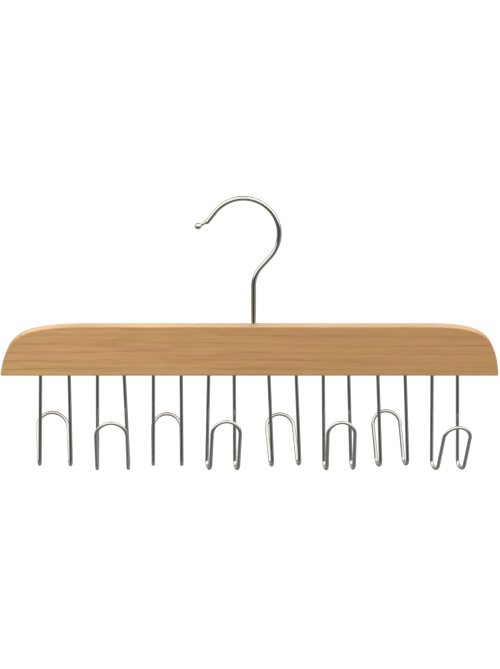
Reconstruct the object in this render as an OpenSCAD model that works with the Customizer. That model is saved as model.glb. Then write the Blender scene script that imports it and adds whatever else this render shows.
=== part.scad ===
// Tie hanger: a wooden bar on a swivelling wire hook, with a row of eight bent wire
// hooks under it that hold ties or belts. They face the back and the front in turn.
// Origin: where a round rod carries the swivel hook, at the crown inside its crook.
// +X runs along the bar, +Y to the back and +Z up. All sizes are in millimetres.

/* [Wooden bar] */
// Length of the bar from tip to tip
bar_length = 340; // [300:5:420]
// Height of the bar at its middle
bar_height = 34.3; // [30:0.1:50]
// Thickness of the bar from front to back
bar_thickness = 12; // [11:0.5:20]
// How far the left end's shoulder reaches along the top edge
left_shoulder = 62; // [40:1:80]
// How far the right end's shoulder reaches along the top edge
right_shoulder = 49; // [40:1:80]
// How far the left end leans in from the upright at its foot, in degrees
left_slope = 10; // [2:1:20]
// How far the right end leans in from the upright at its foot, in degrees
right_slope = 5; // [2:1:20]
// Radius that eases every outer edge of the bar
edge_round = 0.5; // [0.3:0.1:0.9]
// Radius of the corner at the foot of each end
foot_round = 1.2; // [1:0.1:3]

/* [Swivel hook] */
// Diameter of the swivel hook's wire
hook_wire = 3.4; // [3:0.1:4.5]
// Inner diameter of the crook, which takes the rod
crook_inner = 45; // [36:1:60]
// Height from the top of the bar to the crown inside the crook
hook_rise = 86; // [78:1:120]
// How far the stem stands to the right of the crown
stem_aside = 6.9; // [3:0.1:12]
// How far the stem stands to the right of the bar's middle
stem_off_middle = 2.9; // [0:0.1:6]
// Radius of the bend above the stem, at the middle of the wire
stem_bend = 20; // [8:0.5:24]
// Lean of the straight stretch between the stem and the crook, in degrees
throat_lean = 42; // [36:1:46]
// Angle at which the crook's arc ends, from the level line, in degrees
crook_end = 142; // [120:1:160]
// Length of the straight stretch after the crook's arc
tip_run = 7.5; // [4:0.5:14]
// Angle of the outward bend before the ball, in degrees
tip_flare = 26; // [8:1:30]
// Diameter of the thinner neck behind the ball
neck_d = 2.3; // [1.8:0.1:2.8]
// Length from the wire's full thickness to the middle of the ball
neck_length = 6; // [5:0.5:10]
// Diameter of the ball that closes the hook's end
ball_d = 4.8; // [4:0.1:6]

/* [Stem bearing] */
// Clearance all round the stem where it turns in the bar
stem_clearance = 0.1; // [0.05:0.01:0.1]
// Diameter of the recess for the nut, from below
recess_d = 9.6; // [9.4:0.1:10.4]
// Depth of the recess for the nut
recess_depth = 8; // [7:0.5:14]
// Diameter of the steel washer
washer_d = 9; // [8.5:0.1:9.2]
// Thickness of the steel washer
washer_t = 0.8; // [0.5:0.1:1.2]
// Width of the nut across its flats
nut_flats = 7; // [6:0.1:7.5]
// Height of the nut
nut_h = 3.2; // [2.4:0.1:4]
// Length of stem that shows below the nut
stem_tail = 1.2; // [0.5:0.1:1.5]
// Running gap between the washer and the nut
swivel_gap = 0.2; // [0.1:0.05:0.4]

/* [Tie hooks] */
// Diameter of the tie hooks' wire
tie_wire = 2.5; // [2:0.1:3]
// Spacing from one tie hook to the next
tie_pitch = 37.5; // [34:0.1:40]
// Spacing of the two tie hooks on either side of the stem
middle_pitch = 41.8; // [38:0.1:46]
// How far the row's middle lies to the right of the bar's middle
row_off_middle = 1.2; // [0:0.1:4]
// Straight length of each leg below the bar
leg_drop = 61.5; // [40:0.5:90]
// Clear gap inside the narrow bend at the foot of each tie hook
foot_gap = 7; // [5:0.5:12]
// Straight length of the wire that rises again from each foot
riser_length = 22; // [12:1:32]
// Depth of the holes that the legs are glued into
leg_hole_depth = 18; // [10:1:24]
// Clearance all round a leg in its hole, filled by glue
leg_clearance = 0.05; // [0.02:0.01:0.1]
// Room for glue above the end of each leg
glue_room = 0.5; // [0.2:0.1:0.8]

/* [Hidden] */
// The tie hooks are bent one at a time, so each list has one value a hook, left to right
// Shift of each hook along the bar from its even place in the row
tie_shifts = [-1, -0.2, 1, 0.6, 0.6, -0.3, 0.2, -0.8];
// Spacing of the two holes that each hook's legs stand in
leg_spacings = [19.6, 18.3, 19, 17.5, 18.7, 17.4, 18.7, 17.4];
// Spacing of each hook's two feet, to which its legs spread below the bar
foot_spacings = [21.4, 21.4, 19.7, 19.2, 18.8, 18.6, 18.7, 17.9];
// Sideways tilt of each hook's legs, positive when the feet swing to the right
leg_tilts = [-0.7, 0.6, -0.3, -0.6, 2.4, 1.4, 2.5, 1];
// Turn of each foot about its leg, positive when the loop points to the right
foot_turns = [-10, 1, -3, 17, -11, 12, -16, 26];
// Lean of each hook's rising wire away from its legs, in degrees
riser_leans = [24, 14, 25, 8, 18, 9, 11, 19];
// How much longer than riser_length each hook's rising wire is
riser_extras = [-0.4, 0.6, -0.4, 0.5, -0.8, 0.5, 1.1, 0.2];

wood_colour = [0.76, 0.59, 0.41];
chrome_colour = [0.74, 0.74, 0.72];
steel_colour = [0.58, 0.58, 0.58];

$fn = 48;
// Cutters run this far past the faces that they open
past = 1;
// Steps in which the bar's ends and its eased edges are rounded
curve_steps = 14;
corner_steps = 3;
round_steps = 3;
// The curve of an end leaves its slope at this share of the bar's height, and meets the top
// edge with a pull of this share of the shoulder's reach
end_rise = 0.8;
shoulder_pull = 0.18;
// Sides of a bent wire, and the greatest turn between two of its rings, in degrees
wire_sides = 12;
wire_step = 15;
// Clearance all round the stem inside the nut
nut_clearance = 0.05;
// A bent wire starts this far inside the turned stem, and this much thinner all round
seam_length = 2;
seam = 0.01;

tie_count = len(leg_spacings);
bar_top = -hook_rise;
bar_bottom = bar_top - bar_height;
bar_middle = stem_aside - stem_off_middle;
row_middle = bar_middle + row_off_middle;
recess_roof = bar_bottom + recess_depth;
washer_bottom = recess_roof - washer_t;
nut_top = washer_bottom - swivel_gap;
stem_foot = nut_top - nut_h - stem_tail;

crook_radius = (crook_inner + hook_wire) / 2;
crook_centre = -crook_inner / 2;
crook_foot = [crook_radius * cos(throat_lean), crook_centre - crook_radius * sin(throat_lean)];
bend_head_x = stem_aside + stem_bend * (1 - cos(throat_lean));
throat_length = (crook_foot[0] - bend_head_x) / sin(throat_lean);
bend_foot = crook_foot[1] - throat_length * cos(throat_lean) - stem_bend * sin(throat_lean);
tip_bend = 1.2 * hook_wire;
shoulder_length = 0.25 * hook_wire;

foot_radius = (foot_gap + tie_wire) / 2;
leg_top = leg_hole_depth - glue_room;
// The legs run straight down out of the bar for this length before they spread
leg_lead = 1;
// Past the middle, the spacing of the hooks on either side of the stem is the wider one
function tie_x(i) =
  row_middle + tie_shifts[i] + (i - (tie_count - 1) / 2) * tie_pitch
  + (i < tie_count / 2 ? -1 : 1) * (middle_pitch - tie_pitch) / 2;

// A point at share t of the curve with the four given control points
function curve(p, t) =
  pow(1 - t, 3) * p[0] + 3 * t * pow(1 - t, 2) * p[1] + 3 * t * t * (1 - t) * p[2] + t * t * t * p[3];

// One end of the bar from its foot to the top edge, as a curve that starts at the end's slope
function end_curve(shoulder, slope) =
  let (
    rise = end_rise * bar_height,
    pull = [shoulder_pull * shoulder, bar_height],
    points = [[0, 0], [rise * tan(slope), rise], pull, [shoulder, bar_height]]
  )
  [for (k = [1 : curve_steps]) curve(points, k / curve_steps)];

// How far the rounded corner's centre lies in from the sharp foot of an end
function corner_reach(slope) = foot_round / tan(45 - slope / 2);

// The rounded corner at the foot of an end
function foot_corner(slope) =
  [for (k = [0 : corner_steps])
    let (a = 270 - k * (90 + slope) / corner_steps)
    [corner_reach(slope), foot_round] + foot_round * [cos(a), sin(a)]];

// Where the sharp foot of an end would lie from the bar's middle, past its rounded corner
function foot_reach(slope) = bar_length / 2 + corner_reach(slope) - foot_round;

// The bar's outline, clockwise from the left foot, with x from the bar's middle
bar_outline = let (
  left = concat(foot_corner(left_slope), end_curve(left_shoulder, left_slope)),
  right = concat(foot_corner(right_slope), end_curve(right_shoulder, right_slope))
) concat(
  [for (p = left) [p[0] - foot_reach(left_slope), p[1]]],
  [for (k = [len(right) - 1 : -1 : 0]) [foot_reach(right_slope) - right[k][0], right[k][1]]]
);

function unit(v) = v / norm(v);

// A clockwise outline drawn in by a distance on every side
function drawn_in(outline, distance) =
  let (n = len(outline))
  [for (i = [0 : n - 1])
    let (
      before = unit(outline[i] - outline[(i + n - 1) % n]),
      after = unit(outline[(i + 1) % n] - outline[i]),
      bisector = unit([before[1] + after[1], -before[0] - after[0]])
    )
    outline[i] + distance / (bisector * [after[1], -after[0]]) * bisector];

// Rings of points joined by triangles into a closed solid, with a flat cap at each end
module ringed_solid(rings) {
  n = len(rings[0]);
  count = len(rings);
  polyhedron(
    points = [for (ring = rings) each ring],
    faces = concat(
      [[for (k = [n - 1 : -1 : 0]) k]],
      [for (r = [0 : count - 2], k = [0 : n - 1])
        [r * n + k, r * n + (k + 1) % n, (r + 1) * n + k]],
      [for (r = [0 : count - 2], k = [0 : n - 1])
        [r * n + (k + 1) % n, (r + 1) * n + (k + 1) % n, (r + 1) * n + k]],
      [[for (k = [0 : n - 1]) (count - 1) * n + k]]
    )
  );
}

// The outline stood upright from front to back, drawn in where the edges are eased
module bar_blank() {
  angles = [for (k = [0 : round_steps]) 90 * k / round_steps];
  flat_half = bar_thickness / 2 - edge_round;
  layers = concat(
    [for (a = angles) [-flat_half - edge_round * cos(a), edge_round * (1 - sin(a))]],
    [for (k = [round_steps : -1 : 0])
      [flat_half + edge_round * cos(angles[k]), edge_round * (1 - sin(angles[k]))]]
  );
  ringed_solid([for (layer = layers)
    [for (p = drawn_in(bar_outline, layer[1])) [bar_middle + p[0], layer[0], bar_bottom + p[1]]]]);
}

module wooden_bar() {
  color(wood_colour)
    difference() {
      bar_blank();
      translate([stem_aside, 0, bar_bottom - past])
        cylinder(d = hook_wire + 2 * stem_clearance, h = bar_height + 2 * past);
      translate([stem_aside, 0, bar_bottom - past])
        cylinder(d = recess_d, h = recess_depth + past);
      for (i = [0 : tie_count - 1], side = [-1, 1])
        tie_place(i)
          translate([side * leg_spacings[i] / 2, 0, -past])
            cylinder(d = tie_wire + 2 * leg_clearance, h = leg_hole_depth + past);
    }
}

// Direction of a path at point i, halfway between the stretches before and after it
function heading(path, i) =
  let (
    last = len(path) - 1,
    before = unit(path[max(i, 1)] - path[max(i, 1) - 1]),
    after = unit(path[min(i, last - 1) + 1] - path[min(i, last - 1)])
  )
  unit(before + after);

// A vector square to the path at each of its points, carried along without a twist
function carried(path, v, i = 0) =
  i == len(path) ? [] :
  let (h = heading(path, i), w = unit(v - (v * h) * h))
  concat([w], carried(path, w, i + 1));

// A round wire along a path, with its own radius at each point
module wire(path, radii) {
  across = carried(path, [0, 1, 0.01]);
  ringed_solid([for (i = [0 : len(path) - 1])
    let (w = across[i], v = cross(heading(path, i), w))
    [for (k = [0 : wire_sides - 1])
      let (a = 360 * k / wire_sides)
      path[i] + radii[i] * (cos(a) * w - sin(a) * v)]]);
}

// Points along an arc about a centre in the upright XZ plane, from one angle to another
function arc(centre, radius, from, to) =
  let (steps = max(1, ceil(abs(to - from) / wire_step)))
  [for (k = [0 : steps])
    let (a = from + (to - from) * k / steps)
    centre + radius * [cos(a), 0, sin(a)]];

// The crook's end: a straight run, an outward bend, the thin neck and the ball's middle
tip_start = [crook_radius * cos(crook_end), 0, crook_centre + crook_radius * sin(crook_end)];
tip_heading = crook_end + 90;
tip_turn = tip_start + tip_run * [cos(tip_heading), 0, sin(tip_heading)];
flare_centre = tip_turn + tip_bend * [cos(crook_end), 0, sin(crook_end)];
flare = arc(flare_centre, tip_bend, crook_end - 180, crook_end - 180 - tip_flare);
neck_heading = tip_heading - tip_flare;
neck_way = [cos(neck_heading), 0, sin(neck_heading)];
flare_end = flare[len(flare) - 1];
ball_centre = flare_end + neck_length * neck_way;

module swivel_hook() {
  bend_centre = [stem_aside + stem_bend, 0, bend_foot];
  bend = arc(bend_centre, stem_bend, 180, 180 - throat_lean);
  crook = arc([0, 0, crook_centre], crook_radius, -throat_lean, crook_end);
  full = concat([[stem_aside, 0, bend_foot - seam_length]], bend, crook, flare);
  neck = [flare_end + shoulder_length * neck_way, ball_centre];
  color(chrome_colour) {
    translate([stem_aside, 0, stem_foot])
      cylinder(d = hook_wire, h = bend_foot - stem_foot);
    wire(
      concat(full, neck),
      concat([for (p = full) hook_wire / 2 - seam], [for (p = neck) neck_d / 2])
    );
    translate(ball_centre)
      sphere(d = ball_d);
  }
}

module stem_washer() {
  color(steel_colour)
    translate([stem_aside, 0, washer_bottom])
      difference() {
        cylinder(d = washer_d, h = washer_t);
        translate([0, 0, -past])
          cylinder(d = hook_wire + 2 * stem_clearance, h = washer_t + 2 * past);
      }
}

module stem_nut() {
  color(steel_colour)
    translate([stem_aside, 0, nut_top - nut_h])
      difference() {
        cylinder(d = nut_flats / cos(30), h = nut_h, $fn = 6);
        translate([0, 0, -past])
          cylinder(d = hook_wire + 2 * nut_clearance, h = nut_h + 2 * past);
      }
}

// Moves to the underside of the bar at tie hook i, with the tilt of its legs
module tie_place(i) {
  translate([tie_x(i), 0, bar_bottom])
    rotate([0, -leg_tilts[i], 0])
      children();
}

// One leg of tie hook i, from its end in the bar to the top of its foot, with the foot at x 0
function leg_path(i, side, foot) =
  let (hole = side * (leg_spacings[i] - foot_spacings[i]) / 2)
  concat([[hole, 0, leg_top], [hole, 0, -leg_lead]], foot);

// The wire of tie hook i from the end of one leg round to the end of the other: down to the
// foot, up the riser, over the arch and back the same way, with the loop towards +Y
function tie_path(i) =
  let (
    spacing = foot_spacings[i],
    turn = foot_turns[i],
    lean = riser_leans[i],
    out = [sin(turn), cos(turn), 0],
    rise = sin(lean) * out + [0, 0, cos(lean)],
    bend = 180 - lean,
    steps = ceil(bend / wire_step),
    foot = [for (k = [0 : steps])
      let (a = bend * k / steps)
      [0, 0, -leg_drop] + foot_radius * ((1 - cos(a)) * out - [0, 0, sin(a)])],
    head = foot[steps] + (riser_length + riser_extras[i]) * rise,
    left_leg = leg_path(i, -1, foot),
    right_leg = leg_path(i, 1, foot),
    // Two arcs of unlike radius carry the arch over from one slanted riser to the other
    slant = asin(rise[0]),
    left_radius = spacing * (1 + sin(slant)) / (2 * cos(slant)),
    right_radius = spacing * (1 - sin(slant)) / (2 * cos(slant)),
    left_centre = [left_radius * cos(slant), 0, -left_radius * sin(slant)],
    right_centre = left_centre + [0, 0, left_radius - right_radius],
    left_arc = arc(left_centre, left_radius, 180 - slant, 90),
    right_arc = arc(right_centre, right_radius, 90, -slant),
    up = unit([0, rise[1], rise[2]]),
    arch = concat(left_arc, [for (k = [1 : len(right_arc) - 1]) right_arc[k]])
  )
  concat(
    [for (p = left_leg) p - [spacing / 2, 0, 0]],
    [for (p = arch) head + [p[0] - spacing / 2, 0, 0] + p[2] * up],
    [for (k = [len(right_leg) - 1 : -1 : 0]) right_leg[k] + [spacing / 2, 0, 0]]
  );

// Hooks with an even i face the back, and those with an odd i the front
module tie_hook(i) {
  path = tie_path(i);
  color(chrome_colour)
    tie_place(i)
      mirror([0, i % 2, 0])
        wire(path, [for (p = path) tie_wire / 2]);
}

module tie_hook_1() { tie_hook(0); }
module tie_hook_2() { tie_hook(1); }
module tie_hook_3() { tie_hook(2); }
module tie_hook_4() { tie_hook(3); }
module tie_hook_5() { tie_hook(4); }
module tie_hook_6() { tie_hook(5); }
module tie_hook_7() { tie_hook(6); }
module tie_hook_8() { tie_hook(7); }

wooden_bar();
swivel_hook();
stem_washer();
stem_nut();
tie_hook_1();
tie_hook_2();
tie_hook_3();
tie_hook_4();
tie_hook_5();
tie_hook_6();
tie_hook_7();
tie_hook_8();
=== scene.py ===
"""The looks of the tie hanger: wood, wire, camera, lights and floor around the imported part."""

import math

import bpy
import numpy as np
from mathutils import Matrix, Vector

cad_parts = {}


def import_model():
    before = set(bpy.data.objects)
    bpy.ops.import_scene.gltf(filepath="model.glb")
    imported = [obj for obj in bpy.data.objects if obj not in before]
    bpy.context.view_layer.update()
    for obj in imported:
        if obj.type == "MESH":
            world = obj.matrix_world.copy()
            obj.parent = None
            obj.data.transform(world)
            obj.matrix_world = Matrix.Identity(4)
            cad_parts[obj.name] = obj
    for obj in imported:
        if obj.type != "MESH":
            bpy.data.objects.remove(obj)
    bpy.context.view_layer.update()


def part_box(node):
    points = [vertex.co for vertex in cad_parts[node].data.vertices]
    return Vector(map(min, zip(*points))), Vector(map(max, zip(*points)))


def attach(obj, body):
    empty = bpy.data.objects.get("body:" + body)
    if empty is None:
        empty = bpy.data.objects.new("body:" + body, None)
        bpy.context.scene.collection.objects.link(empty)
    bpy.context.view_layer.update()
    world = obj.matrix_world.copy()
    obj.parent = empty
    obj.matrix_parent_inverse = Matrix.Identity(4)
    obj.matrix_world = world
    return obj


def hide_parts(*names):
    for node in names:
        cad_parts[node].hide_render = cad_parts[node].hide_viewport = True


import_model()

MM = 0.001
UP = np.array([0.0, 0.0, 1.0])

# Swivel hook, from the crown of its crook at the origin, in millimetres and degrees
HOOK_WIRE = 3.4
CROOK_INNER = 45.0
STEM_ASIDE = 6.9
STEM_BEND = 20.0
THROAT_LEAN = 42.0
CROOK_END = 142.0
TIP_RUN = 7.5
TIP_BEND = 1.2 * HOOK_WIRE
TIP_FLARE = 26.0
NECK_D = 2.3
NECK_LENGTH = 6.0
NECK_TAPER = 0.25 * HOOK_WIRE
BALL_D = 4.8
THREAD_PITCH = 0.6
THREAD_TURNS = 9
THREAD_DEPTH = 0.3

# Wooden bar, in millimetres and degrees
LEFT_END = {"shoulder": 62.0, "slope": 10.0}
RIGHT_END = {"shoulder": 49.0, "slope": 5.0}
END_RISE = 0.8
SHOULDER_PULL = 0.18
EDGE_ROUND = 0.5
FOOT_ROUND = 1.2
STEM_BORE = 3.6
RECESS_D = 9.6
RECESS_DEPTH = 8.0
LEG_HOLE_DEPTH = 18.0
LEG_CLEARANCE = 0.05
GLUE_ROOM = 0.5

# Washer and nut, in millimetres and degrees
WASHER_BORE = 3.6
WASHER_EASE = 0.12
NUT_BORE = 3.5
NUT_EASE = 0.3
NUT_FLATS = 7.0
# Outer diameter of the flat ring on either face of the nut, as a share of the width across its flats
NUT_FACE = 0.94
NUT_SLOPE = 30.0

# Tie hooks, in millimetres and degrees, with one value a hook where they differ
TIE_WIRE = 2.5
TIE_PITCH = 37.5
MIDDLE_PITCH = 41.8
ROW_OFF_MIDDLE = 1.2
LEG_DROP = 61.5
LEG_LEAD = 1.0
FOOT_GAP = 7.0
RISER_LENGTH = 22.0
TIE_SHIFTS = (-1, -0.2, 1, 0.6, 0.6, -0.3, 0.2, -0.8)
LEG_SPACINGS = (19.6, 18.3, 19, 17.5, 18.7, 17.4, 18.7, 17.4)
FOOT_SPACINGS = (21.4, 21.4, 19.7, 19.2, 18.8, 18.6, 18.7, 17.9)
LEG_TILTS = (-0.7, 0.6, -0.3, -0.6, 2.4, 1.4, 2.5, 1)
FOOT_TURNS = (-10, 1, -3, 17, -11, 12, -16, 26)
RISER_LEANS = (24, 14, 25, 8, 18, 9, 11, 19)
RISER_EXTRAS = (-0.4, 0.6, -0.4, 0.5, -0.8, 0.5, 1.1, 0.2)
WIRE_EASE = 0.2

# Camera, in metres and degrees
VIEW_WIDTH = 0.341
VIEW_DISTANCE = 1.6
VIEW_ELEVATION = 14.0
VIEW_TARGET = np.array([0.00443, 0.0, -0.0927])
SENSOR_WIDTH = 36.0
CLIP_END = 100.0

# Lamps: name, place and size in metres, and power in watts
LAMPS = (
    ("key", (-0.9, -1.3, 1.1), (1.0, 0.7), 20.3),
    ("top", (-0.1, 0.1, 1.3), (1.4, 1.0), 12.0),
    ("fill", (1.3, -0.9, 0.3), (0.8, 1.2), 4.0),
    ("back", (0.7, 1.3, 0.7), (1.0, 0.8), 10.0),
)
LAMP_TARGET = (0.0, 0.0, -0.1)

# Floor and the white that the camera sees
SEEN_RAYS = ("Is Camera Ray", "Is Transmission Ray")
FLOOR_SIZE = 60.0
FLOOR_Z = -2.4
FLOOR_COLOUR = (0.85, 0.85, 0.85, 1)
FLOOR_ROUGHNESS = 0.9
FLOOR_GLOW = 0.75
SOFT_LIGHT = 0.42

# Brightness of the studio as the metal mirrors it
ROOM_BOX = 1.25
ROOM_DARK = 0.055
ROOM_LOW = 0.2
ROOM_LEFT = 0.24
ROOM_RIGHT = 0.32
ROOM_BACK = 0.28
ROOM_BACKDROP = 1.0
ROOM_UNDERFOOT = 0.25

# Where that studio changes, in degrees: a turn goes to the right from straight in front, an angle aside
# goes to either side of it, and a height goes up from level
LEFT_TURN = (-85, -25)
RIGHT_TURN = (12, 70)
LOW_ASIDE = (12, 36)
LOW_HEIGHT = (-38, -24)
BOX_FOOT_HEIGHT = (-3, 7)
BOX_HEAD_HEIGHT = (66, 84)
BEHIND_ASIDE = (86, 108)
BACKDROP_ASIDE = (120, 150)
BACKDROP_HEIGHT = (30, 50)
UNDERFOOT_HEIGHT = (-80, -66)

# Colours, and the places on a ramp where they stand
BLACK = (0, 0, 0)
WHITE = (1, 1, 1)
WOOD_YELLOW = (0.677, 0.383, 0.140)
WOOD_PINK = (0.709, 0.362, 0.157)
# Late-wood colour, also the colour of the painted shade along the foot of the bar
WOOD_LATE_AND_SHADE = (0.430, 0.215, 0.070)
WOOD_FIBRE = (0.750, 0.470, 0.220)
CHROME_DARK = (0.74, 0.735, 0.68)
CHROME_PALE = (0.84, 0.835, 0.78)
STEEL_DARK = (0.45, 0.46, 0.47)
STEEL_PALE = (0.60, 0.61, 0.62)
CHROME_STOPS = ((0.3, CHROME_DARK), (0.7, CHROME_PALE))
STEEL_STOPS = ((0.3, STEEL_DARK), (0.7, STEEL_PALE))
PATCH_STOPS = ((0.35, WOOD_YELLOW), (0.65, WOOD_PINK))
LATE_STOPS = ((0.7, BLACK), (0.89, WHITE), (0.97, BLACK))

# Least and greatest roughness
CHROME_ROUGHNESS = (0.04, 0.09)
STEEL_ROUGHNESS = (0.28, 0.45)
WOOD_ROUGHNESS = (0.36, 0.5)

# Fineness of the patterns, for each axis or for all three at once
EVEN = (1, 1, 1)
CHROME_HAZE = 60.0
STEEL_MOTTLE = 250.0
HAIRLINES = (900, 900, 60)
WOOD_RINGS = (0.3, 1, 1)
WOOD_FADING = (9, 40, 60)
WOOD_PATCHES = (16, 40, 50)
WOOD_STREAKS = (14, 90, 480)
WOOD_FIBRES = (60, 1500, 1500)

# Shares of the late-wood or fibre colour at the ends of each pattern, of which less than 0 counts as none
RING_SHARES = (-0.25, 1.35)
STREAK_SHARES = (-0.9, 1.3)
FIBRE_SHARES = (-0.8, 1.1)

# Wood, in metres: the growth rings, where and how strongly its colour darkens towards the right end, and
# the painted shade along the foot of the bar
RING_SPACING = 0.0060
RING_WANDER = 5.0
RING_SHIFT = (0.05, 0, 0.0012)
TONE_START_X = -0.19
TONE_END_X = 0.1
TONE_SHARE = 0.37
FOOT_SHADE_HEIGHT = 0.0014
FOOT_SHADE_SHARE = 0.7

# Fineness of the meshes
TURNED_SIDES = 96
WIRE_SIDES = 32
HOLE_SIDES = 48
ARC_STEP = 5.0
EDGE_STEPS = 8
CURVE_STEPS = 48
TAPER_STEPS = 6
BALL_STEPS = 20
SMOOTH_ANGLE = 35
TURNED_SMOOTH_ANGLE = 25
# The curve of an end starts at least this far above its rounded foot, in millimetres
CURVE_START = 0.05
# Cutters run this far past the faces that they open, in millimetres
PAST = 1.0
# The points of a wire's first ring are laid from this direction, along which no wire starts
RING_START = np.array([0.0, 1.0, 0.01])


def cad_box(node):
    """The lowest and highest corners of a node, in millimetres."""
    low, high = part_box(node)
    return np.array(low) / MM, np.array(high) / MM


def unit(v):
    return v / np.linalg.norm(v)


def sin(a):
    return math.sin(math.radians(a))


def cos(a):
    return math.cos(math.radians(a))


def tan(a):
    return math.tan(math.radians(a))


def level(a):
    """The direction at angle a from +X in the upright XZ plane."""
    return np.array([cos(a), 0.0, sin(a)])


def arc(centre, radius, start, end):
    """Points along an arc in the upright XZ plane."""
    steps = max(1, math.ceil(abs(end - start) / ARC_STEP))
    return [np.array(centre) + radius * level(start + (end - start) * k / steps) for k in range(steps + 1)]


def heading(path, i):
    """Direction of a path at point i."""
    last = len(path) - 1
    before = unit(path[max(i, 1)] - path[max(i, 1) - 1])
    after = unit(path[min(i, last - 1) + 1] - path[min(i, last - 1)])
    return unit(before + after)


def scene_mesh(name, verts, faces):
    """A mesh in metres from points in millimetres, as a new object in the scene."""
    mesh = bpy.data.meshes.new(name)
    mesh.from_pydata([tuple(v * MM) for v in verts], [], faces)
    obj = bpy.data.objects.new(name, mesh)
    bpy.context.collection.objects.link(obj)
    return obj


def mesh_piece(name, verts, faces, body, material, node):
    """A mesh piece that rides on a body and stands for a CAD node."""
    piece = scene_mesh(name, verts, faces)
    piece.data.update()
    piece.data.materials.append(material)
    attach(piece, body)
    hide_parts(node)
    return piece


def shade_smooth(piece, angle):
    """Smooth shading that keeps edges sharper than the angle."""
    mesh = piece.data
    mesh.polygons.foreach_set("use_smooth", [True] * len(mesh.polygons))
    mesh.set_sharp_from_angle(angle=math.radians(angle))


def skin(count, sides):
    """Faces over a stack of rings with the same number of sides, closed by a cap at either end."""
    faces = [tuple(range(sides - 1, -1, -1))]
    for r in range(count - 1):
        for k in range(sides):
            a = r * sides + k
            b = r * sides + (k + 1) % sides
            faces.append((a, b, b + sides, a + sides))
    last = (count - 1) * sides
    faces.append(tuple(range(last, last + sides)))
    return faces


def tube(path, radii):
    """Points and faces of a round wire along a path."""
    across = RING_START
    verts = []
    for i, centre in enumerate(path):
        way = heading(path, i)
        across = unit(across - across.dot(way) * way)
        side = np.cross(way, across)
        for k in range(WIRE_SIDES):
            a = 360 * k / WIRE_SIDES
            verts.append(centre + radii[i] * (cos(a) * across + sin(a) * side))
    return verts, skin(len(path), WIRE_SIDES)


def eased_ends(path, radii, ease):
    """The path with a small bevel at each of its two ends."""
    first = unit(path[1] - path[0])
    final = unit(path[-2] - path[-1])
    path = [path[0], path[0] + ease * first, *path[1:-1], path[-1] + ease * final, path[-1]]
    radii = [radii[0] - ease, radii[0], *radii[1:-1], radii[-1], radii[-1] - ease]
    return path, radii


def revolved(profile, base, tilt=0.0):
    """Points and faces of a closed solid of steps turned about an axis that leans in the XZ plane."""
    axis = np.array([-sin(tilt), 0, cos(tilt)])
    across = np.array([cos(tilt), 0, sin(tilt)])
    verts = []
    for radius, height in profile:
        for k in range(HOLE_SIDES):
            a = 360 * k / HOLE_SIDES
            ring = radius * (cos(a) * across + sin(a) * np.array([0.0, 1.0, 0.0]))
            verts.append(np.array(base) + height * axis + ring)
    return verts, skin(len(profile), HOLE_SIDES)


def turned(outlines, axis_x):
    """Points and faces of a ring about an upright axis, from one outline of radii and heights an angle."""
    count = len(outlines)
    n = len(outlines[0])
    verts = []
    for i, outline in enumerate(outlines):
        a = 360 * i / count
        verts += [np.array([axis_x + r * cos(a), r * sin(a), height]) for r, height in outline]
    faces = []
    for i in range(count):
        here = i * n
        there = (i + 1) % count * n
        for j in range(n):
            k = (j + 1) % n
            faces.append((here + j, there + j, there + k, here + k))
    return verts, faces


# Shader nodes


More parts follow.
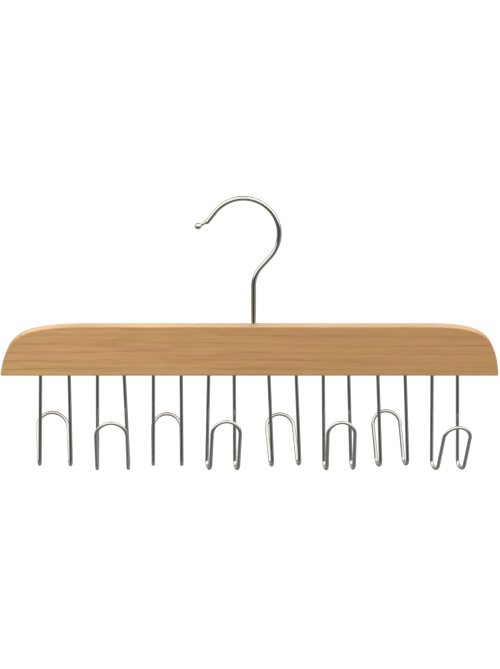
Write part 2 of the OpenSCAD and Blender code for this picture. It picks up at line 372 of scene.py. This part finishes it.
class Graph:
    """Adds nodes to one node tree. Most methods give back the output of the node that they add."""

    def __init__(self, tree):
        self.nodes = tree.nodes
        self.links = tree.links

    def feed(self, socket, value):
        """Gives a socket a number, a colour, or the output of another node."""
        if isinstance(value, (int, float)):
            socket.default_value = value
        elif isinstance(value, tuple):
            socket.default_value = (*value, 1.0)
        else:
            self.links.new(value, socket)

    def split(self, vector):
        """The X, Y and Z of a vector."""
        node = self.nodes.new("ShaderNodeSeparateXYZ")
        self.links.new(vector, node.inputs["Vector"])
        return node.outputs["X"], node.outputs["Y"], node.outputs["Z"]

    def own_coordinates(self):
        """Coordinates of the piece itself, in metres."""
        return self.nodes.new("ShaderNodeTexCoord").outputs["Object"]

    def stretched(self, scale, shift=(0, 0, 0)):
        """The piece's own coordinates scaled by axis."""
        node = self.nodes.new("ShaderNodeMapping")
        node.inputs["Scale"].default_value = scale
        node.inputs["Location"].default_value = shift
        self.links.new(self.own_coordinates(), node.inputs["Vector"])
        return node.outputs["Vector"]

    def noise(self, stretch, detail, rough, scale=1.0, distortion=0.0):
        """Soft noise over the piece's own coordinates, stretched by axis."""
        node = self.nodes.new("ShaderNodeTexNoise")
        node.inputs["Scale"].default_value = scale
        node.inputs["Detail"].default_value = detail
        node.inputs["Roughness"].default_value = rough
        node.inputs["Distortion"].default_value = distortion
        self.links.new(self.stretched(stretch), node.inputs["Vector"])
        return node.outputs["Fac"]

    def ramp(self, factor, stops):
        """Colour by a factor, through stops of place and colour."""
        node = self.nodes.new("ShaderNodeValToRGB")
        elements = node.color_ramp.elements
        while len(elements) < len(stops):
            elements.new(0.5)
        for element, (place, colour) in zip(elements, stops):
            element.position = place
            element.color = (*colour, 1.0)
        self.links.new(factor, node.inputs["Fac"])
        return node.outputs["Color"]

    def blended(self, factor, a, b, kind="FLOAT"):
        """A number between a and b."""
        node = self.nodes.new("ShaderNodeMix")
        node.data_type = kind
        self.feed(node.inputs["Factor"], factor)
        self.feed(node.inputs["A"], a)
        self.feed(node.inputs["B"], b)
        return node.outputs["Result"]

    def mixed(self, factor, a, b):
        """A colour between a and b."""
        return self.blended(factor, a, b, "RGBA")

    def combined(self, operation, a, b):
        """The result of a mathematical operation on two numbers."""
        node = self.nodes.new("ShaderNodeMath")
        node.operation = operation
        self.feed(node.inputs[0], a)
        self.feed(node.inputs[1], b)
        return node.outputs["Value"]

    def mapped(self, value, low, high):
        """A value from 0 to 1 mapped to low..high."""
        node = self.nodes.new("ShaderNodeMapRange")
        node.inputs["To Min"].default_value = low
        node.inputs["To Max"].default_value = high
        self.links.new(value, node.inputs["Value"])
        return node.outputs["Result"]

    def scaled(self, value, low, high, start, end):
        """A value mapped smoothly from low..high to start..end, and held there past either limit."""
        node = self.nodes.new("ShaderNodeMapRange")
        node.interpolation_type = "SMOOTHSTEP"
        node.inputs["From Min"].default_value = low
        node.inputs["From Max"].default_value = high
        node.inputs["To Min"].default_value = start
        node.inputs["To Max"].default_value = end
        self.links.new(value, node.inputs["Value"])
        return node.outputs["Result"]

    def crossing(self, angle, span, start, end):
        """A value that goes from start to end as an angle crosses a span of degrees."""
        return self.scaled(angle, math.radians(span[0]), math.radians(span[1]), start, end)

    def bump(self, height, strength, distance):
        """The normal over a fine relief."""
        node = self.nodes.new("ShaderNodeBump")
        node.inputs["Strength"].default_value = strength
        node.inputs["Distance"].default_value = distance
        self.links.new(height, node.inputs["Height"])
        return node.outputs["Normal"]

    def switched(self, rays, otherwise, value):
        """One number for some kinds of ray, and another for the rest."""
        path = self.nodes.new("ShaderNodeLightPath")
        chosen = path.outputs[rays[0]]
        for ray in rays[1:]:
            chosen = self.combined("MAXIMUM", chosen, path.outputs[ray])
        return self.blended(chosen, otherwise, value)


# Materials


def new_material(name):
    """A node material, the graph that adds to it, and its shader."""
    material = bpy.data.materials.new(name)
    material.use_nodes = True
    return material, Graph(material.node_tree), material.node_tree.nodes["Principled BSDF"]


def chrome():
    """Bright plating with a faint haze and hairline polishing marks."""
    material, graph, shader = new_material("chrome")
    cloud = graph.noise(EVEN, detail=3.0, rough=0.5, scale=CHROME_HAZE)
    lines = graph.noise(HAIRLINES, detail=2.0, rough=0.5)
    graph.feed(shader.inputs["Base Color"], graph.ramp(cloud, CHROME_STOPS))
    graph.feed(shader.inputs["Roughness"], graph.mapped(cloud, *CHROME_ROUGHNESS))
    graph.feed(shader.inputs["Normal"], graph.bump(lines, strength=0.03, distance=0.0001))
    shader.inputs["Metallic"].default_value = 1.0
    return material


def steel():
    """Zinc-plated steel of the washer and nut."""
    material, graph, shader = new_material("steel")
    cloud = graph.noise(EVEN, detail=4.0, rough=0.6, scale=STEEL_MOTTLE)
    graph.feed(shader.inputs["Base Color"], graph.ramp(cloud, STEEL_STOPS))
    graph.feed(shader.inputs["Roughness"], graph.mapped(cloud, *STEEL_ROUGHNESS))
    graph.feed(shader.inputs["Normal"], graph.bump(cloud, strength=0.1, distance=0.0002))
    shader.inputs["Metallic"].default_value = 1.0
    return material


def growth_rings(graph):
    """Growth rings as bands across Z, from 0 up to 1 at each late-wood line."""
    node = graph.nodes.new("ShaderNodeTexWave")
    node.wave_type = "BANDS"
    node.bands_direction = "Z"
    node.wave_profile = "SAW"
    # The pattern repeats every 2 pi / 20 units at scale 1
    node.inputs["Scale"].default_value = math.pi / 10 / RING_SPACING
    node.inputs["Distortion"].default_value = RING_WANDER
    node.inputs["Detail"].default_value = 2.0
    node.inputs["Detail Scale"].default_value = 0.35
    node.inputs["Detail Roughness"].default_value = 0.45
    graph.feed(node.inputs["Vector"], graph.stretched(WOOD_RINGS, RING_SHIFT))
    return node.outputs["Fac"]


def grain(graph, streaks, fibres):
    """Colour of the wood: soft patches, growth rings that fade here and there, streaks and fibres."""
    patches = graph.noise(WOOD_PATCHES, detail=3.0, rough=0.5, distortion=0.5)
    fading = graph.noise(WOOD_FADING, detail=2.0, rough=0.5)
    late = graph.ramp(growth_rings(graph), LATE_STOPS)
    ring_share = graph.combined("MULTIPLY", late, graph.mapped(fading, *RING_SHARES))
    ringed = graph.mixed(ring_share, graph.ramp(patches, PATCH_STOPS), WOOD_LATE_AND_SHADE)
    streaked = graph.mixed(graph.mapped(streaks, *STREAK_SHARES), ringed, WOOD_LATE_AND_SHADE)
    return graph.mixed(graph.mapped(fibres, *FIBRE_SHARES), streaked, WOOD_FIBRE)


def toned_with_painted_shade(graph, colour):
    """The wood's colour, darker towards the right end, with painted shade in a line along the foot of the
    bar.
    """
    foot_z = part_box("wooden_bar")[0][2]
    x, _, z = graph.split(graph.own_coordinates())
    tone = graph.scaled(x, TONE_START_X, TONE_END_X, 0.0, TONE_SHARE)
    # Painted shade: the foot of the bar is darkened towards the late-wood colour, where its rounded lower
    # edge turns down away from the light
    painted_foot_shade = graph.scaled(z, foot_z, foot_z + FOOT_SHADE_HEIGHT, FOOT_SHADE_SHARE, 0.0)
    return graph.mixed(painted_foot_shade, graph.mixed(tone, colour, WOOD_LATE_AND_SHADE), WOOD_LATE_AND_SHADE)


def wood():
    """Pale hardwood under satin varnish, with the grain along the bar."""
    material, graph, shader = new_material("wood")
    streaks = graph.noise(WOOD_STREAKS, detail=4.0, rough=0.6, distortion=0.4)
    fibres = graph.noise(WOOD_FIBRES, detail=2.0, rough=0.6)
    graph.feed(shader.inputs["Base Color"], toned_with_painted_shade(graph, grain(graph, streaks, fibres)))
    graph.feed(shader.inputs["Roughness"], graph.mapped(streaks, *WOOD_ROUGHNESS))
    graph.feed(shader.inputs["Normal"], graph.bump(fibres, strength=0.12, distance=0.0002))
    shader.inputs["Coat Weight"].default_value = 0.4
    shader.inputs["Coat Roughness"].default_value = 0.3
    return material


# Wooden bar


def curve(points, t):
    """A point at share t of the curve with four control points."""
    p = [np.array(q, dtype=float) for q in points]
    s = 1 - t
    return s**3 * p[0] + 3 * t * s * s * p[1] + 3 * t * t * s * p[2] + t**3 * p[3]


def corner_reach(slope):
    """How far the rounded corner's centre lies in from the sharp foot of an end."""
    return FOOT_ROUND / tan(45 - slope / 2)


def end_of_bar(end, height):
    """One end of the bar's outline, from its rounded foot to the top edge."""
    shoulder = end["shoulder"]
    slope = end["slope"]
    centre = np.array([corner_reach(slope), FOOT_ROUND])
    corner = []
    for k in range(EDGE_STEPS + 1):
        a = 270 - k * (90 + slope) / EDGE_STEPS
        corner.append(centre + FOOT_ROUND * np.array([cos(a), sin(a)]))
    rise = END_RISE * height
    controls = [(0, 0), (rise * tan(slope), rise), (SHOULDER_PULL * shoulder, height), (shoulder, height)]
    side = [curve(controls, k / CURVE_STEPS) for k in range(CURVE_STEPS + 1)]
    return corner + [p for p in side if p[1] > corner[-1][1] + CURVE_START]


def bar_outline(low, high):
    """The outline of the bar in X and Z, clockwise from the left foot."""
    height = high[2] - low[2]
    left_foot = low[0] - corner_reach(LEFT_END["slope"]) + FOOT_ROUND
    right_foot = high[0] + corner_reach(RIGHT_END["slope"]) - FOOT_ROUND
    left = [(left_foot + p[0], low[2] + p[1]) for p in end_of_bar(LEFT_END, height)]
    right = [(right_foot - p[0], low[2] + p[1]) for p in end_of_bar(RIGHT_END, height)]
    return [np.array(p) for p in left + right[::-1]]


def drawn_in(outline, distance):
    """A clockwise outline drawn in by a distance on every side."""
    n = len(outline)
    points = []
    for i in range(n):
        before = unit(outline[i] - outline[i - 1])
        after = unit(outline[(i + 1) % n] - outline[i])
        bisector = unit(np.array([before[1] + after[1], -before[0] - after[0]]))
        points.append(outline[i] + distance / bisector.dot([after[1], -after[0]]) * bisector)
    return points


def rounded_bar(low, high):
    """Points and faces of the undrilled bar, with rounded edges at its front and back."""
    outline = bar_outline(low, high)
    half = (high[1] - low[1]) / 2
    angles = [90 * k / EDGE_STEPS for k in range(EDGE_STEPS + 1)]
    layers = [(-(half - EDGE_ROUND) - EDGE_ROUND * cos(a), EDGE_ROUND * (1 - sin(a))) for a in angles]
    layers += [(-y, inset) for y, inset in reversed(layers)]
    verts = []
    for y, inset in layers:
        verts += [np.array([p[0], y, p[1]]) for p in drawn_in(outline, inset)]
    return verts, skin(len(layers), len(outline))


def hole_cutters(low, high):
    """Points and faces of the cutters for the stem's bore and recess and for every leg's hole."""
    stem = [
        (RECESS_D / 2, -PAST),
        (RECESS_D / 2, RECESS_DEPTH),
        (STEM_BORE / 2, RECESS_DEPTH),
        (STEM_BORE / 2, high[2] - low[2] + PAST),
    ]
    leg = [(TIE_WIRE / 2 + LEG_CLEARANCE, -PAST), (TIE_WIRE / 2 + LEG_CLEARANCE, LEG_HOLE_DEPTH)]
    cutters = [revolved(stem, (STEM_ASIDE, 0, low[2]))]
    for i, spacing in enumerate(LEG_SPACINGS):
        for side in (-1, 1):
            mouth = np.array([tie_x(i), 0, low[2]]) + side * spacing / 2 * level(LEG_TILTS[i])
            cutters.append(revolved(leg, mouth, LEG_TILTS[i]))
    return cutters


def cut_holes(bar, cutters):
    """Cuts all the holes at once and leaves no modifier or cutter behind."""
    verts = []
    faces = []
    for points, sides in cutters:
        faces += [tuple(len(verts) + k for k in side) for side in sides]
        verts += points
    tool = scene_mesh("cutter", verts, faces)
    modifier = bar.modifiers.new("holes", "BOOLEAN")
    modifier.operation = "DIFFERENCE"
    modifier.solver = "EXACT"
    modifier.object = tool
    bpy.context.view_layer.update()
    graph = bpy.context.evaluated_depsgraph_get()
    drilled = bpy.data.meshes.new_from_object(bar.evaluated_get(graph))
    bar.modifiers.clear()
    bar.data = drilled
    bpy.data.objects.remove(tool)


def wooden_bar(material):
    """The bar with rounded shoulders and edges, drilled for the stem and the legs."""
    low, high = cad_box("wooden_bar")
    verts, faces = rounded_bar(low, high)
    bar = mesh_piece("bar_body", verts, faces, "bar", material, "wooden_bar")
    cut_holes(bar, hole_cutters(low, high))
    shade_smooth(bar, SMOOTH_ANGLE)
    weighted = bar.modifiers.new("weighted normals", "WEIGHTED_NORMAL")
    weighted.keep_sharp = True


# Tie hooks


def tie_x(i):
    """Where tie hook i stands along the bar."""
    low, high = cad_box("wooden_bar")
    count = len(LEG_SPACINGS)
    side = -1 if i < count / 2 else 1
    middle = (low[0] + high[0]) / 2 + ROW_OFF_MIDDLE + TIE_SHIFTS[i]
    return middle + (i - (count - 1) / 2) * TIE_PITCH + side * (MIDDLE_PITCH - TIE_PITCH) / 2


def foot_path(lean, out):
    """The round foot under one leg, up to the wire that rises from it and leans away from the leg."""
    radius = (FOOT_GAP + TIE_WIRE) / 2
    steps = math.ceil((180 - lean) / ARC_STEP)
    angles = [(180 - lean) * k / steps for k in range(steps + 1)]
    return [-LEG_DROP * UP + radius * ((1 - cos(a)) * out - sin(a) * UP) for a in angles]


def arch_path(spacing, slant):
    """The arch from the left rising wire to the right one, for wires that slant sideways."""
    left = spacing * (1 + sin(slant)) / (2 * cos(slant))
    right = spacing * (1 - sin(slant)) / (2 * cos(slant))
    left_centre = np.array([left * cos(slant), 0, -left * sin(slant)])
    right_centre = left_centre + (left - right) * UP
    return arc(left_centre, left, 180 - slant, 90) + arc(right_centre, right, 90, -slant)[1:]


def tie_path(i):
    """The wire of tie hook i from the end of one leg to the end of the other."""
    out = np.array([sin(FOOT_TURNS[i]), cos(FOOT_TURNS[i]), 0.0])
    rise = sin(RISER_LEANS[i]) * out + cos(RISER_LEANS[i]) * UP
    foot = foot_path(RISER_LEANS[i], out)
    head = foot[-1] + (RISER_LENGTH + RISER_EXTRAS[i]) * rise
    arch = arch_path(FOOT_SPACINGS[i], math.degrees(math.asin(rise[0])))
    lift = unit(np.array([0, rise[1], rise[2]]))
    half = np.array([FOOT_SPACINGS[i] / 2, 0, 0])
    spread = np.array([(FOOT_SPACINGS[i] - LEG_SPACINGS[i]) / 2, 0, 0])
    lead = [(LEG_HOLE_DEPTH - GLUE_ROOM) * UP, -LEG_LEAD * UP]
    path = [p - half for p in [q + spread for q in lead] + foot]
    path += [head - half + np.array([p[0], 0, 0]) + p[2] * lift for p in arch]
    path += [p + half for p in foot[::-1] + [q - spread for q in lead[::-1]]]
    return path


def tie_hook(i, material):
    """Tie hook i, with its loop towards the back where i is even and the front where it is odd."""
    foot_z = cad_box("wooden_bar")[0][2]
    tilt = LEG_TILTS[i]
    facing = 1 if i % 2 == 0 else -1
    placed = []
    for p in tie_path(i):
        x = p[0] * cos(tilt) - p[2] * sin(tilt)
        z = p[0] * sin(tilt) + p[2] * cos(tilt)
        placed.append(np.array([tie_x(i) + x, facing * p[1], foot_z + z]))
    path, radii = eased_ends(placed, [TIE_WIRE / 2] * len(placed), WIRE_EASE)
    verts, faces = tube(path, radii)
    name = "tie_hook_%d" % (i + 1)
    piece = mesh_piece("wire_" + name, verts, faces, "bar", material, name)
    shade_smooth(piece, SMOOTH_ANGLE)


# Swivel hook, washer and nut


def crook_path(foot_z):
    """The middle of the swivel hook's full wire, from the foot of the stem to the crook's flared tip."""
    radius = (CROOK_INNER + HOOK_WIRE) / 2
    crook = arc([0, 0, -CROOK_INNER / 2], radius, -THROAT_LEAN, CROOK_END)
    bend_head_x = STEM_ASIDE + STEM_BEND * (1 - cos(THROAT_LEAN))
    throat = (crook[0][0] - bend_head_x) / sin(THROAT_LEAN)
    bend_z = crook[0][2] - throat * cos(THROAT_LEAN) - STEM_BEND * sin(THROAT_LEAN)
    bend = arc([STEM_ASIDE + STEM_BEND, 0, bend_z], STEM_BEND, 180, 180 - THROAT_LEAN)
    tip_turn = crook[-1] + TIP_RUN * level(CROOK_END + 90)
    flare_centre = tip_turn + TIP_BEND * level(CROOK_END)
    flare = arc(flare_centre, TIP_BEND, CROOK_END - 180, CROOK_END - 180 - TIP_FLARE)
    return [np.array([STEM_ASIDE, 0, foot_z]), *bend, *crook, *flare]


def with_ball(path, radii):
    """The wire run on through a thinner neck and into a ball, drawn as rings so that it stays smooth."""
    way = level(CROOK_END + 90 - TIP_FLARE)
    tip = path[-1]
    for k in range(1, TAPER_STEPS + 1):
        share = (1 - cos(180 * k / TAPER_STEPS)) / 2
        path.append(tip + NECK_TAPER * k / TAPER_STEPS * way)
        radii.append(HOOK_WIRE / 2 + share * (NECK_D - HOOK_WIRE) / 2)
    ball = tip + NECK_LENGTH * way
    start = math.degrees(math.asin(NECK_D / BALL_D))
    for k in range(BALL_STEPS):
        a = start + (180 - start) * k / BALL_STEPS
        path.append(ball - BALL_D / 2 * cos(a) * way)
        radii.append(BALL_D / 2 * sin(a))
    return path, radii


def with_thread(path, radii):
    """The wire with the thread at its foot as ridges, half a pitch from each crest to the next root."""
    way = unit(path[1] - path[0])
    steps = range(1, 2 * THREAD_TURNS + 2)
    thread = [path[0] + k * THREAD_PITCH / 2 * way for k in steps]
    depths = [0 if k % 2 else THREAD_DEPTH for k in steps]
    path = [path[0], *thread, *path[1:]]
    radii = [radii[0] - THREAD_DEPTH, *[radii[0] - depth for depth in depths], *radii[1:]]
    return path, radii


def swivel_hook(material):
    """The hook that the hanger hangs by, from the threaded foot of its stem to the ball at its tip."""
    path = crook_path(cad_box("swivel_hook")[0][2])
    path, radii = with_ball(path, [HOOK_WIRE / 2] * len(path))
    verts, faces = tube(*with_thread(path, radii))
    piece = mesh_piece("wire_swivel_hook", verts, faces, "hook", material, "swivel_hook")
    shade_smooth(piece, SMOOTH_ANGLE)


def stem_washer(material):
    """A flat washer with eased edges."""
    low, high = cad_box("stem_washer")
    bore = WASHER_BORE / 2
    rim = (high[0] - low[0]) / 2
    ease = WASHER_EASE
    outline = [(bore, low[2] + ease), (bore + ease, low[2])]
    outline += [(rim - ease, low[2]), (rim, low[2] + ease)]
    outline += [(rim, high[2] - ease), (rim - ease, high[2])]
    outline += [(bore + ease, high[2]), (bore, high[2] - ease)]
    verts, faces = turned([outline] * TURNED_SIDES, STEM_ASIDE)
    piece = mesh_piece("turned_stem_washer", verts, faces, "bar", material, "stem_washer")
    shade_smooth(piece, TURNED_SMOOTH_ANGLE)


def stem_nut(material):
    """A hexagonal nut whose corners are turned away at both faces."""
    low, high = cad_box("stem_nut")
    bore = NUT_BORE / 2
    mouth = bore + NUT_EASE
    face = NUT_FACE * NUT_FLATS / 2
    outlines = []
    for i in range(TURNED_SIDES):
        # A side of the hexagon lies at its nearest every 60 degrees, from 30 on
        side = NUT_FLATS / 2 / cos(360 * i / TURNED_SIDES % 60 - 30)
        drop = (side - face) * tan(NUT_SLOPE)
        outline = [(bore, low[2] + NUT_EASE), (mouth, low[2]), (face, low[2]), (side, low[2] + drop)]
        outline += [(side, high[2] - drop), (face, high[2]), (mouth, high[2]), (bore, high[2] - NUT_EASE)]
        outlines.append(outline)
    verts, faces = turned(outlines, STEM_ASIDE)
    piece = mesh_piece("turned_stem_nut", verts, faces, "hook", material, "stem_nut")
    shade_smooth(piece, TURNED_SMOOTH_ANGLE)


# Studio


def aim(obj, target):
    obj.rotation_euler = (Vector(target) - obj.location).to_track_quat("-Z", "Y").to_euler()


def camera():
    """The photograph's view: square to the bar's front, a little from above, through a long lens."""
    data = bpy.data.cameras.new("camera")
    data.sensor_fit = "HORIZONTAL"
    data.sensor_width = SENSOR_WIDTH
    data.lens = SENSOR_WIDTH * VIEW_DISTANCE / VIEW_WIDTH
    data.clip_end = CLIP_END
    cam = bpy.data.objects.new("camera", data)
    way = np.array([0.0, -cos(VIEW_ELEVATION), sin(VIEW_ELEVATION)])
    cam.location = Vector(VIEW_TARGET + VIEW_DISTANCE * way)
    bpy.context.collection.objects.link(cam)
    aim(cam, VIEW_TARGET)
    bpy.context.scene.camera = cam


def lights():
    """Soft lamps, which the metal doesn't mirror."""
    for name, place, size, power in LAMPS:
        data = bpy.data.lights.new(name, "AREA")
        data.shape = "RECTANGLE"
        data.size, data.size_y = size
        data.energy = power
        lamp = bpy.data.objects.new(name, data)
        lamp.location = Vector(place)
        lamp.visible_glossy = False
        bpy.context.collection.objects.link(lamp)
        aim(lamp, LAMP_TARGET)


def facing_angles(graph, direction):
    """The turn, the angle aside and the height of a direction, in radians."""
    way = graph.nodes.new("ShaderNodeVectorMath")
    way.operation = "NORMALIZE"
    graph.feed(way.inputs[0], direction)
    x, y, z = graph.split(way.outputs["Vector"])
    turn = graph.combined("ARCTAN2", x, graph.combined("MULTIPLY", y, -1.0))
    aside = graph.combined("ABSOLUTE", turn, 0.0)
    height = graph.combined("ARCSINE", z, 0.0)
    return turn, aside, height


def room(graph, direction):
    """Brightness of the studio as the metal mirrors it, by direction.

    A white soft box stands in front, above the level line. The room is dark below it, paler at the sides
    and underfoot, and grey overhead and behind, where a white backdrop stands straight behind.
    """
    turn, aside, height = facing_angles(graph, direction)
    left = graph.crossing(turn, LEFT_TURN, ROOM_LEFT, ROOM_DARK)
    right = graph.crossing(turn, RIGHT_TURN, ROOM_DARK, ROOM_RIGHT)
    sides = graph.combined("MAXIMUM", left, right)
    low = graph.crossing(aside, LOW_ASIDE, ROOM_LOW, ROOM_DARK)
    deep = graph.crossing(height, LOW_HEIGHT, 1.0, 0.0)
    below = graph.combined("MAXIMUM", sides, graph.combined("MULTIPLY", low, deep))
    straight = graph.crossing(aside, BACKDROP_ASIDE, 0.0, 1.0)
    backdrop = graph.crossing(height, BACKDROP_HEIGHT, 1.0, 0.0)
    back = graph.blended(graph.combined("MULTIPLY", straight, backdrop), ROOM_BACK, ROOM_BACKDROP)
    box = graph.crossing(height, BOX_HEAD_HEIGHT, ROOM_BOX, ROOM_BACK)
    above = graph.blended(graph.crossing(aside, BEHIND_ASIDE, 0.0, 1.0), box, back)
    around = graph.blended(graph.crossing(height, BOX_FOOT_HEIGHT, 0.0, 1.0), below, above)
    return graph.blended(graph.crossing(height, UNDERFOOT_HEIGHT, 1.0, 0.0), around, ROOM_UNDERFOOT)


def world():
    """White as the camera sees it, even for soft light, and a darker studio in the metal's reflections."""
    studio = bpy.data.worlds.new("studio")
    bpy.context.scene.world = studio
    studio.use_nodes = True
    graph = Graph(studio.node_tree)
    coords = graph.nodes.new("ShaderNodeTexCoord")
    mirrored = room(graph, coords.outputs["Generated"])
    soft = graph.switched(["Is Glossy Ray"], SOFT_LIGHT, mirrored)
    background = graph.nodes["Background"]
    background.inputs["Color"].default_value = (1, 1, 1, 1)
    graph.feed(background.inputs["Strength"], graph.switched(SEEN_RAYS, soft, 1.0))


def floor():
    """A plain pale floor well below the hanger, white to the camera except where a shadow lies."""
    bpy.ops.mesh.primitive_plane_add(size=FLOOR_SIZE, location=(0, 0, FLOOR_Z))
    plane = bpy.context.object
    plane.name = "floor"
    material, graph, shader = new_material("floor")
    shader.inputs["Base Color"].default_value = FLOOR_COLOUR
    shader.inputs["Roughness"].default_value = FLOOR_ROUGHNESS
    shader.inputs["Emission Color"].default_value = (1, 1, 1, 1)
    graph.feed(shader.inputs["Emission Strength"], graph.switched(SEEN_RAYS, 0.0, FLOOR_GLOW))
    place = graph.nodes.new("ShaderNodeNewGeometry")
    glow = graph.nodes.new("ShaderNodeEmission")
    graph.feed(glow.inputs["Strength"], room(graph, place.outputs["Position"]))
    path = graph.nodes.new("ShaderNodeLightPath")
    both = graph.nodes.new("ShaderNodeMixShader")
    graph.feed(both.inputs["Fac"], path.outputs["Is Glossy Ray"])
    graph.feed(both.inputs[1], shader.outputs["BSDF"])
    graph.feed(both.inputs[2], glow.outputs["Emission"])
    graph.feed(graph.nodes["Material Output"].inputs["Surface"], both.outputs["Shader"])
    # The floor only shows its glow to the camera and in the metal, so no light is looked for on it
    material.cycles.emission_sampling = "NONE"
    plane.data.materials.append(material)


camera()
world()
lights()
floor()
bright = chrome()
plated = steel()
wooden_bar(wood())
swivel_hook(bright)
for number in range(len(LEG_SPACINGS)):
    tie_hook(number, bright)
stem_washer(plated)
stem_nut(plated)
bpy.context.scene.view_settings.view_transform = "Standard"
